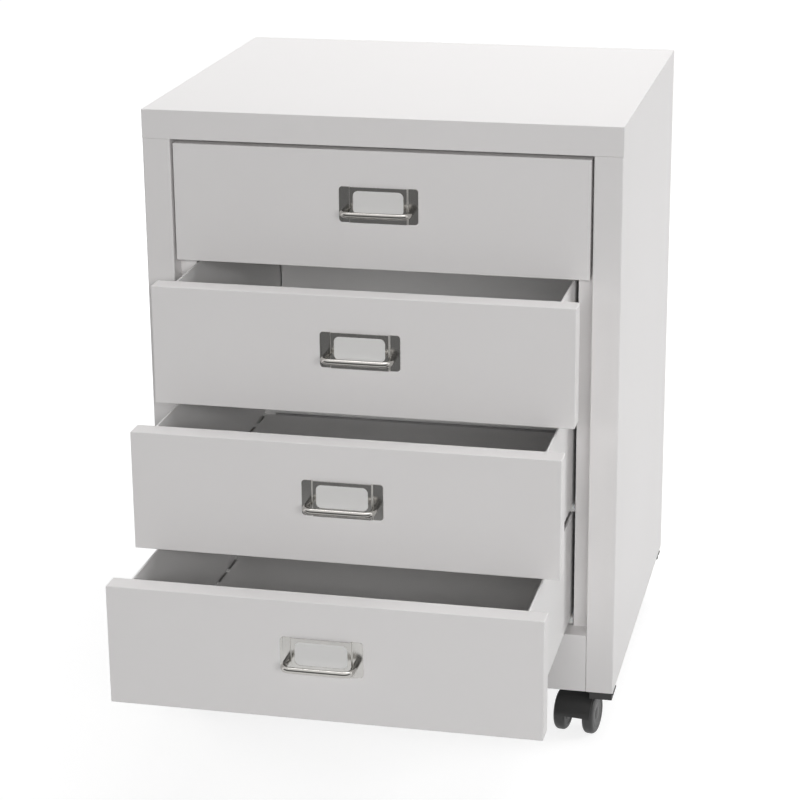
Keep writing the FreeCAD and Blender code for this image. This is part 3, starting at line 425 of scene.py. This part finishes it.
moulded = shader_group("moulded_plastic", (
    ("Plastic", grey(0.05)), ("Faded Plastic", grey(0.06)), ("Spark Grain", 3500.0),
    ("Grain Depth", 0.00003), ("Flow Marks", 25.0), ("Gloss", 0.35), ("Matt", 0.5),
), FINISH_OUTPUTS)
given = new_node(moulded, "NodeGroupInput").outputs
spot = new_node(moulded, "ShaderNodeTexCoord").outputs["Object"]
pits = new_node(moulded, "ShaderNodeTexVoronoi", {"Vector": spot, "Scale": given["Spark Grain"]})
flow = new_node(moulded, "ShaderNodeTexNoise", {"Vector": spot, "Scale": given["Flow Marks"], "Detail": 3.0,
                                                "Distortion": 0.6})
bump = new_node(moulded, "ShaderNodeBump", {"Strength": 1.0, "Distance": given["Grain Depth"],
                                            "Height": pits.outputs["Distance"]})
edge = new_node(moulded, "ShaderNodeAttribute", attribute_name="edge")
rubbed = new_node(moulded, "ShaderNodeMath", {0: flow.outputs["Fac"], 1: edge.outputs["Fac"]},
                  operation="MAXIMUM")
colour = new_node(moulded, "ShaderNodeMix", {0: rubbed.outputs[0], 6: given["Plastic"],
                                             7: given["Faded Plastic"]}, data_type="RGBA")
sheen = new_node(moulded, "ShaderNodeMapRange", {"Value": flow.outputs["Fac"], "From Min": 0.3,
                                                 "From Max": 0.7, "To Min": given["Gloss"],
                                                 "To Max": given["Matt"]})
new_node(moulded, "NodeGroupOutput", {"Colour": colour.outputs[2], "Roughness": sheen.outputs[0],
                                      "Normal": bump.outputs[0]})

nylon = finish_material("white_nylon", moulded, {
    "Plastic": (0.8, 0.795, 0.77, 1.0), "Faded Plastic": (0.85, 0.845, 0.82, 1.0), "Gloss": 0.3,
    "Matt": 0.42}, Subsurface_Weight=0.1)
glide_round = 0.5 * mm
shown_as(softened_sheet("runner_front_glides", "front_glides", glide_round), nylon, "cabinet", "nylon",
         "front_glides")


# Corner feet
# Black moulded caps, pushed into the ends of the posts and pegged into the base at the rear, with
# a thin rim that stands proud of the side.

foot_plastic = finish_material("black_foot_plastic", moulded, {
    "Plastic": grey(0.03), "Faded Plastic": grey(0.045), "Gloss": 0.38, "Matt": 0.5})
foot_round = 0.4 * mm
shown_as(softened_sheet("post_corner_feet", "corner_feet", foot_round), foot_plastic, "cabinet",
         "foot_plastic", "corner_feet")


# Zinc-plated fittings
# The castor mounts and stems, the castor axles and the screws: turned and pressed steel with a
# bright zinc finish.

plated = shader_group("plated_metal", (
    ("Metal", grey(0.6)), ("Dull Metal", grey(0.5)), ("Draw Lines", 2500.0), ("Line Depth", 0.000004),
    ("Smudges", 40.0), ("Gloss", 0.15), ("Matt", 0.3), ("Creased", 0.45), ("Crease Metal", grey(0.6)),
), FINISH_OUTPUTS)
given = new_node(plated, "NodeGroupInput").outputs
spot = new_node(plated, "ShaderNodeTexCoord").outputs["Object"]
stretched = new_node(plated, "ShaderNodeMapping", {"Vector": spot, "Scale": (0.03, 1.0, 1.0)})
lines = new_node(plated, "ShaderNodeTexNoise", {"Vector": stretched.outputs[0], "Scale": given["Draw Lines"],
                                                "Detail": 2.0})
smudge = new_node(plated, "ShaderNodeTexNoise", {"Vector": spot, "Scale": given["Smudges"], "Detail": 4.0,
                                                 "Distortion": 0.8})
bump = new_node(plated, "ShaderNodeBump", {"Strength": 1.0, "Distance": given["Line Depth"],
                                           "Height": lines.outputs["Fac"]})
colour = new_node(plated, "ShaderNodeMix", {0: smudge.outputs["Fac"], 6: given["Metal"],
                                            7: given["Dull Metal"]}, data_type="RGBA")
sheen = new_node(plated, "ShaderNodeMapRange", {"Value": smudge.outputs["Fac"], "From Min": 0.3,
                                                "From Max": 0.75, "To Min": given["Gloss"],
                                                "To Max": given["Matt"]})
edge = new_node(plated, "ShaderNodeAttribute", attribute_name="edge")
creased = new_node(plated, "ShaderNodeMix", {0: edge.outputs["Fac"], 2: sheen.outputs[0],
                                             3: given["Creased"]}, data_type="FLOAT")
# The rounded strips take another metal colour, which the chrome plates set far lighter: a painted highlight.
crease_painted_highlight = new_node(plated, "ShaderNodeMix", {0: edge.outputs["Fac"], 6: colour.outputs[2],
                                                   7: given["Crease Metal"]}, data_type="RGBA")
new_node(plated, "NodeGroupOutput", {"Colour": crease_painted_highlight.outputs[2], "Roughness": creased.outputs[0],
                                     "Normal": bump.outputs[0]})

zinc = finish_material("zinc_plate", plated, {
    "Metal": (0.62, 0.63, 0.64, 1.0), "Dull Metal": (0.48, 0.49, 0.5, 1.0), "Gloss": 0.28, "Matt": 0.45},
    metallic=1.0)
fitting_round = 0.25 * mm
for part in ("castor_mounts", "castor_stems"):
    shown_as(softened_sheet("fitting_" + part, part, fitting_round), zinc, "cabinet", "zinc_steel", part)


# Screws of the back panel
# Pan-head screws with a cross recess, down both rear lips. One screw is made and set on each
# place by geometry nodes, each turned by chance as a hand leaves it.

def turned_shape(work, profile, centre, axis, steps):
    """Adds a lathe-turned shape to a bmesh. Its profile is (place along the axis, radius)."""
    along = Vector(axis)
    across = along.orthogonal().normalized()
    other = along.cross(across)
    rings = []
    for place, radius in profile:
        middle = Vector(centre) + along * place
        if radius == 0:
            rings.append([work.verts.new(middle)])
            continue
        rings.append([work.verts.new(middle + (across * math.cos(turn) + other * math.sin(turn)) * radius)
                      for turn in (2 * math.pi * step / steps for step in range(steps))])
    for ring, following in zip(rings, rings[1:]):
        for step in range(steps):
            following_step = (step + 1) % steps
            corners = [ring[step % len(ring)], ring[following_step % len(ring)],
                       following[following_step % len(following)], following[step % len(following)]]
            work.faces.new(list(dict.fromkeys(corners)))
    bmesh.ops.recalc_face_normals(work, faces=work.faces)


def geometry_tree(name, inputs):
    """An empty geometry tree with named inputs, as (name, socket type, value)."""
    tree = bpy.data.node_groups.new(name, "GeometryNodeTree")
    tree.interface.new_socket(name="Geometry", in_out="INPUT", socket_type="NodeSocketGeometry")
    for label, kind, value in inputs:
        socket = tree.interface.new_socket(name=label, in_out="INPUT", socket_type=kind)
        if value is not None:
            socket.default_value = value
    tree.interface.new_socket(name="Geometry", in_out="OUTPUT", socket_type="NodeSocketGeometry")
    return tree


def run_tree(piece, tree, values):
    """Runs a geometry tree on a piece with its inputs set, and keeps the plain mesh."""
    run = piece.modifiers.new(tree.name, "NODES")
    run.node_group = tree
    for socket in tree.interface.items_tree:
        if socket.in_out == "INPUT" and socket.name in values:
            run[socket.identifier] = values[socket.name]
    return settled_mesh(piece)


copies = geometry_tree("copies_at_places", (
    ("Copied", "NodeSocketObject", None), ("Finish", "NodeSocketMaterial", None),
    ("Chance Turn", "NodeSocketFloat", 0.0), ("Chance", "NodeSocketInt", 3)))
given = new_node(copies, "NodeGroupInput").outputs
copied = new_node(copies, "GeometryNodeObjectInfo", {"Object": given["Copied"]})
most = new_node(copies, "ShaderNodeCombineXYZ", {"Y": given["Chance Turn"]})
chance = new_node(copies, "FunctionNodeRandomValue", {1: most.outputs[0], "Seed": given["Chance"]},
                  data_type="FLOAT_VECTOR")
placed = new_node(copies, "GeometryNodeInstanceOnPoints", {
    "Points": given["Geometry"], "Instance": copied.outputs["Geometry"], "Rotation": chance.outputs[0]})
real = new_node(copies, "GeometryNodeRealizeInstances", {0: placed.outputs[0]})
dressed = new_node(copies, "GeometryNodeSetMaterial", {"Geometry": real.outputs[0],
                                                       "Material": given["Finish"]})
new_node(copies, "NodeGroupOutput", {0: dressed.outputs[0]})

screw_head = 3.2 * mm
screw_head_depth = 1.6 * mm
head_dome = ((0.3, 1.0), (0.65, 0.93), (0.9, 0.75), (1.0, 0.5))
screw_shank = 1.5 * mm
screw_length = 6.0 * mm
screw_point = 0.9 * mm
screw_point_length = 0.6 * mm
recess_reach = 1.7 * mm
recess_width = 0.7 * mm
recess_depth = 1.0 * mm
screw_steps = 32


def cross_recessed_screw(name, axis):
    """A pan-head screw at the origin, its seat at 0 and its head towards axis. The dome of the head
    is given in shares of its depth and its radius."""
    out = Vector(axis)
    work = bmesh.new()
    dome = [(depth * screw_head_depth, radius * screw_head) for depth, radius in head_dome]
    turned_shape(work, [
        (-screw_length, 0), (-screw_length, screw_point), (screw_point_length - screw_length, screw_shank),
        (0, screw_shank), (0, screw_head)] + dome + [(screw_head_depth, 0)], (0, 0, 0), out, screw_steps)
    screw = built_piece(name, work)
    across = out.orthogonal().normalized()
    other = out.cross(across)
    return cut_away(screw, [
        (out * screw_head_depth, (long_way * recess_reach, short_way * recess_width / 2, out * recess_depth))
        for long_way, short_way in ((across, other), (other, across))])


def solid_boxes(node):
    """The low and high corners of each separate solid in a node."""
    work = bmesh.new()
    work.from_mesh(frame["nodes"][node].data)
    bmesh.ops.remove_doubles(work, verts=work.verts, dist=weld_reach)
    left = set(work.verts)
    boxes = []
    while left:
        to_follow = [left.pop()]
        group = list(to_follow)
        while to_follow:
            vertex = to_follow.pop()
            for line in vertex.link_edges:
                other = line.other_vert(vertex)
                if other in left:
                    left.discard(other)
                    group.append(other)
                    to_follow.append(other)
        boxes.append([Vector([pick(vertex.co[i] for vertex in group) for i in range(3)])
                      for pick in (min, max)])
    work.free()
    return sorted(boxes, key=lambda box: tuple(box[0]))


def copies_at(name, places, copied, finish, chance_turn=0.0):
    """A piece made of copies of an object at the places given, which it then removes."""
    mesh = bpy.data.meshes.new(name)
    mesh.from_pydata([tuple(place) for place in places], [], [])
    piece = run_tree(new_piece(name, mesh), copies, {"Copied": copied, "Finish": finish,
                                                     "Chance Turn": chance_turn})
    bpy.data.objects.remove(copied)
    return piece


back_screws = copies_at("back_panel_pan_screws", [
    ((low.x + high.x) / 2, high.y - screw_head_depth, (low.z + high.z) / 2)
    for low, high in solid_boxes("back_panel_screws")],
    cross_recessed_screw("back_screw", (0, 1, 0)), zinc, chance_turn=math.pi)
shown_as(back_screws, zinc, "cabinet", "zinc_steel", "back_panel_screws")


# Castors
# Twin-wheel castors in black nylon: a hood that turns on the stem, an axle through its web, and
# two wheels with a domed outer face. The one at the photographed corner stands turned a little.

castor_plastic = finish_material("black_castor_nylon", moulded, {
    "Plastic": grey(0.028), "Faded Plastic": grey(0.05), "Gloss": 0.34, "Matt": 0.46})
wheel_plastic = finish_material("black_wheel_nylon", moulded, {
    "Plastic": grey(0.035), "Faded Plastic": grey(0.07), "Gloss": 0.3, "Matt": 0.45})

bore_radius = 2.55 * mm
bore_depth = 8.0 * mm
tread_radius = 20.0 * mm
shoulder_radius = 4.0 * mm
wheel_wide = 11.0 * mm
wheel_gap = 17.0 * mm
groove_rings = (9.0 * mm, 10.0 * mm, 14.0 * mm, 15.0 * mm)
groove_depth = 1.0 * mm
rib_ring = 14.0 * mm
rib_step = 0.5 * mm
dish_lip = 0.2 * mm
dish_depth = 0.8 * mm
hub_ring = 6.0 * mm
hub_crown = 0.1 * mm
shoulder_steps = 8
wheel_steps = 72
wheel_crease_angle = math.radians(35)
hood_round = 0.6 * mm
axle_round = 0.4 * mm


def wheel_profile():
    """Half section of a wheel along the axle from the web: the bore, a groove in the inner face,
    the tread between two shoulders, then a rib, a shallow dish and the hub in the outer face."""
    turns = [math.radians(90) * step / shoulder_steps for step in range(shoulder_steps + 1)]
    inner = [(shoulder_radius - shoulder_radius * math.cos(turn), tread_radius - shoulder_radius
              + shoulder_radius * math.sin(turn)) for turn in turns]
    outer = [(wheel_wide - shoulder_radius + shoulder_radius * math.sin(turn), tread_radius - shoulder_radius
              + shoulder_radius * math.cos(turn)) for turn in turns]
    groove = list(zip((0, groove_depth, groove_depth, 0), groove_rings))
    return [(bore_depth, 0), (bore_depth, bore_radius), (0, bore_radius)] + groove + inner + outer + [
            (wheel_wide, rib_ring), (wheel_wide - rib_step, rib_ring - rib_step),
            (wheel_wide - rib_step, rib_ring - 2 * rib_step),
            (wheel_wide - dish_lip, rib_ring - 3 * rib_step),
            (wheel_wide - dish_depth, hub_ring + 2 * rib_step), (wheel_wide - dish_depth, hub_ring),
            (wheel_wide - rib_step, hub_ring - rib_step), (wheel_wide - dish_lip, hub_ring / 2),
            (wheel_wide - hub_crown, 0)]


rolls = {joint["name"]: joint for joint in frame["record"]["behaviour"]["joints"]}
for castor in ("front_left", "front_right", "rear_left", "rear_right"):
    hood = "castor_%s_hood" % castor
    shown_as(softened_sheet("hood_" + castor, hood, hood_round, steps=3), castor_plastic,
             "castor_" + castor, "castor_plastic", hood)
    axle_node = "castor_%s_axle" % castor
    shown_as(softened_sheet("axle_" + castor, axle_node, axle_round), zinc, "castor_" + castor,
             "zinc_steel", axle_node)
    for side, out in (("left", -1), ("right", 1)):
        wheel_node = "castor_%s_wheel_%s" % (castor, side)
        roll = rolls["wheel_%s_%s_roll" % (castor, side)]
        outward = Vector(roll["axis"]) * out
        work = bmesh.new()
        turned_shape(work, wheel_profile(), Vector(roll["pos_m"]) + outward * wheel_gap / 2, outward,
                     wheel_steps)
        wheel = built_piece("wheel_%s_%s" % (castor, side), work)
        wheel.data.polygons.foreach_set("use_smooth", [True] * len(wheel.data.polygons))
        wheel.data.set_sharp_from_angle(angle=wheel_crease_angle)
        shown_as(wheel, wheel_plastic, wheel.name, "wheel_plastic", wheel_node)


# Drawer fronts
# Pans of 1 mm sheet steel with folded edges, one welded to each tray. Powder coated white with the
# cabinet, and pierced for the two screws of the pull.

drawers = ("drawer_1", "drawer_2", "drawer_3", "drawer_4")
front_paint = finish_material("front_powder_coat", powder_coat, {
    "Paint": shell_white, "Thin Paint": shell_white_thin, "Gloss": 0.3, "Matt": 0.38, "Dust": 0.05})
for body in drawers:
    shown_as(softened_sheet(body + "_front_pan", body + "_front", sheet_round), front_paint, body,
             "front_paint", body + "_front")


# Drawer trays
# Each is folded from one 0.8 mm sheet, with open seams at the rear corners, hemmed side walls and
# slots along the folds of the floor. Powder coated white, with nylon glides at the rear corners. The
# tray paint is a little whiter than the cabinet's: painted light that lifts the shaded insides.

# Whiter than the cabinet's coat: painted light that lifts the shaded insides of the trays.
tray_paint = finish_material("tray_powder_coat", powder_coat, {
    "Paint": (0.885, 0.875, 0.868, 1.0), "Thin Paint": (0.9, 0.892, 0.886, 1.0), "Gloss": 0.34,
    "Matt": 0.44, "Dust": 0.08})

tray_edge_round = 0.2 * mm
fold_round = 0.6 * mm
hem_round = 0.6 * mm
tray_sheet = 0.8 * mm
seam_width = 1.2 * mm
seam_foot = 4.0 * mm
above_rim = 1.0 * mm
fold_slot = 1.2 * mm
fold_slot_end = 12.0 * mm
touching = 0.1 * mm
along = 0.9


def tray_rounding(low, high):
    """The rounding of a tray: folds at the floor and corners and the hem are wide, cut edges sharp."""
    def rounding(middle, way):
        outside = min(abs(middle.x - low.x), abs(middle.x - high.x)) < touching
        end = min(abs(middle.y - low.y), abs(middle.y - high.y)) < touching
        if abs(middle.z - high.z) < touching:
            return hem_round if abs(way.y) > along else sheet_round
        corner_fold = abs(way.z) > along and outside and end
        floor_fold = abs(middle.z - low.z) < touching and (outside or end)
        return fold_round if corner_fold or floor_fold else None
    return rounding


for body in drawers:
    low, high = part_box(body + "_tray")
    wall_middle = (low.z + seam_foot + high.z + above_rim) / 2
    seams = [(Vector((side * (high.x - tray_sheet - seam_width / 2), high.y - tray_sheet / 2, wall_middle)),
              (Vector((seam_width / 2, 0, 0)), Vector((0, tray_sheet, 0)),
               Vector((0, 0, high.z + above_rim - wall_middle)))) for side in (-1, 1)]
    rear_slot = (Vector((0, high.y - tray_sheet, low.z + tray_sheet + fold_slot / 2)),
                 (Vector((high.x - fold_slot_end, 0, 0)), Vector((0, 1.5 * tray_sheet, 0)),
                  Vector((0, 0, fold_slot / 2))))
    tray = cut_away(merged_copy(body + "_folded_tray", body + "_tray"), seams + [rear_slot])
    shown_as(soften(tray, tray_edge_round, tray_rounding(low, high)), tray_paint, body, "tray_paint",
             body + "_tray")
    shown_as(softened_sheet(body + "_tray_glides", body + "_rear_glides", glide_round), nylon, body,
             "nylon", body + "_rear_glides")


# Label plates
# Pressed from 1 mm steel and chromed, with a window and a raised middle that leaves room for the
# card. The creases beside the raised middle are satin, and the flat parts mirror the dark studio.
# The creases and rounded edges get a much lighter metal colour, a painted highlight.

# The crease colour, much lighter than the chrome, is a painted highlight on the creases and rounded edges.
chrome_sheet = finish_material("chrome_pressing", plated, {
    "Metal": (0.63, 0.62, 0.6, 1.0), "Dull Metal": (0.55, 0.54, 0.52, 1.0), "Gloss": 0.12, "Matt": 0.2,
    "Creased": 0.5, "Crease Metal": (0.85, 0.84, 0.81, 1.0)}, metallic=1.0)

plate_edge_round = 0.1 * mm
crease_round = 0.4 * mm
crease_outside = 5.0 * mm
crease_inside = 11.5 * mm


def plate_rounding(low, high):
    """The rounding of a plate: the two creases are wide, so that each shows as a bright line."""
    def rounding(middle, way):
        from_side = min(middle.x - low.x, high.x - middle.x)
        return crease_round if abs(way.z) > along and crease_outside < from_side < crease_inside else None
    return rounding


for body in drawers:
    plate_node = body + "_label_plate"
    plate = softened_sheet(body + "_plate", plate_node, plate_edge_round,
                           plate_rounding(*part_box(plate_node)), steps=3, clamped=False)
    shown_as(plate, chrome_sheet, body, "chrome_plate", plate_node)


# Label cards
# Cut from blank white card stock, whose fibres show up close. One is slipped in behind the window
# of each plate and held by its raised middle.

card_stock = shader_group("card_stock", (
    ("Card", grey(0.8)), ("Fibre Tint", grey(0.7)), ("Fibres", 1800.0), ("Fibre Depth", 0.00002),
    ("Gloss", 0.6), ("Matt", 0.75),
), FINISH_OUTPUTS)
given = new_node(card_stock, "NodeGroupInput").outputs
spot = new_node(card_stock, "ShaderNodeTexCoord").outputs["Object"]
fibres = new_node(card_stock, "ShaderNodeTexNoise", {"Vector": spot, "Scale": given["Fibres"], "Detail": 5.0,
                                                     "Distortion": 1.2})
bump = new_node(card_stock, "ShaderNodeBump", {"Strength": 1.0, "Distance": given["Fibre Depth"],
                                               "Height": fibres.outputs["Fac"]})
colour = new_node(card_stock, "ShaderNodeMix", {0: fibres.outputs["Fac"], 6: given["Card"],
                                                7: given["Fibre Tint"]}, data_type="RGBA")
sheen = new_node(card_stock, "ShaderNodeMapRange", {"Value": fibres.outputs["Fac"], "To Min": given["Gloss"],
                                                    "To Max": given["Matt"]})
new_node(card_stock, "NodeGroupOutput", {"Colour": colour.outputs[2], "Roughness": sheen.outputs[0],
                                         "Normal": bump.outputs[0]})
card_white = finish_material("blank_card", card_stock, {
    "Card": (0.86, 0.855, 0.845, 1.0), "Fibre Tint": (0.8, 0.795, 0.785, 1.0)})
card_edge_round = 0.05 * mm
for body in drawers:
    shown_as(softened_sheet(body + "_card", body + "_label_card", card_edge_round), card_white, body,
             "card", body + "_label_card")


# Wire pulls
# Round steel wire, bent twice and chromed. Each pull stands straight out of its drawer front, and
# two zinc-plated screws hold it and the plate from inside the pan.

chrome_rod = finish_material("chrome_wire", plated, {
    "Metal": (0.6, 0.585, 0.56, 1.0), "Dull Metal": (0.5, 0.485, 0.46, 1.0), "Gloss": 0.1, "Matt": 0.2},
    metallic=1.0)

bent_wire = geometry_tree("bent_wire", (
    ("Bend", "NodeSocketFloat", 0.007), ("Wire Radius", "NodeSocketFloat", 0.0025),
    ("Bend Steps", "NodeSocketInt", 12), ("Round Steps", "NodeSocketInt", 28),
    ("Finish", "NodeSocketMaterial", None)))
given = new_node(bent_wire, "NodeGroupInput").outputs
line = new_node(bent_wire, "GeometryNodeMeshToCurve", {0: given["Geometry"]})
bends = new_node(bent_wire, "GeometryNodeFilletCurve", {"Curve": line.outputs[0], "Radius": given["Bend"],
                                                       "Count": given["Bend Steps"]}, mode="POLY")
ring = new_node(bent_wire, "GeometryNodeCurvePrimitiveCircle", {"Radius": given["Wire Radius"],
                                                               "Resolution": given["Round Steps"]})
swept = new_node(bent_wire, "GeometryNodeCurveToMesh", {"Curve": bends.outputs[0],
                                                       "Profile Curve": ring.outputs[0], "Fill Caps": True})
smooth = new_node(bent_wire, "GeometryNodeSetShadeSmooth", {"Geometry": swept.outputs[0]})
real = new_node(bent_wire, "GeometryNodeRealizeInstances", {0: smooth.outputs[0]})
dressed = new_node(bent_wire, "GeometryNodeSetMaterial", {"Geometry": real.outputs[0],
                                                         "Material": given["Finish"]})
new_node(bent_wire, "NodeGroupOutput", {0: dressed.outputs[0]})

wire_radius = 2.75 * mm
wire_bend = 7.0 * mm
screw_edge_round = 0.2 * mm

for body in drawers:
    shown_as(softened_sheet(body + "_screws", body + "_pull_screws", screw_edge_round), zinc, body,
             "zinc_steel", body + "_pull_screws")
    low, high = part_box(body + "_wire_pull")
    height = (low.z + high.z) / 2
    bar_line = low.y + wire_radius
    path = bpy.data.meshes.new(body + "_pull")
    path.from_pydata([(low.x + wire_radius, high.y, height), (low.x + wire_radius, bar_line, height),
                      (high.x - wire_radius, bar_line, height), (high.x - wire_radius, high.y, height)],
                     [(0, 1), (1, 2), (2, 3)], [])
    pull = run_tree(new_piece(body + "_pull", path), bent_wire, {
        "Bend": wire_bend, "Wire Radius": wire_radius, "Finish": chrome_rod})
    shown_as(pull, chrome_rod, body, "chrome_wire", body + "_wire_pull")
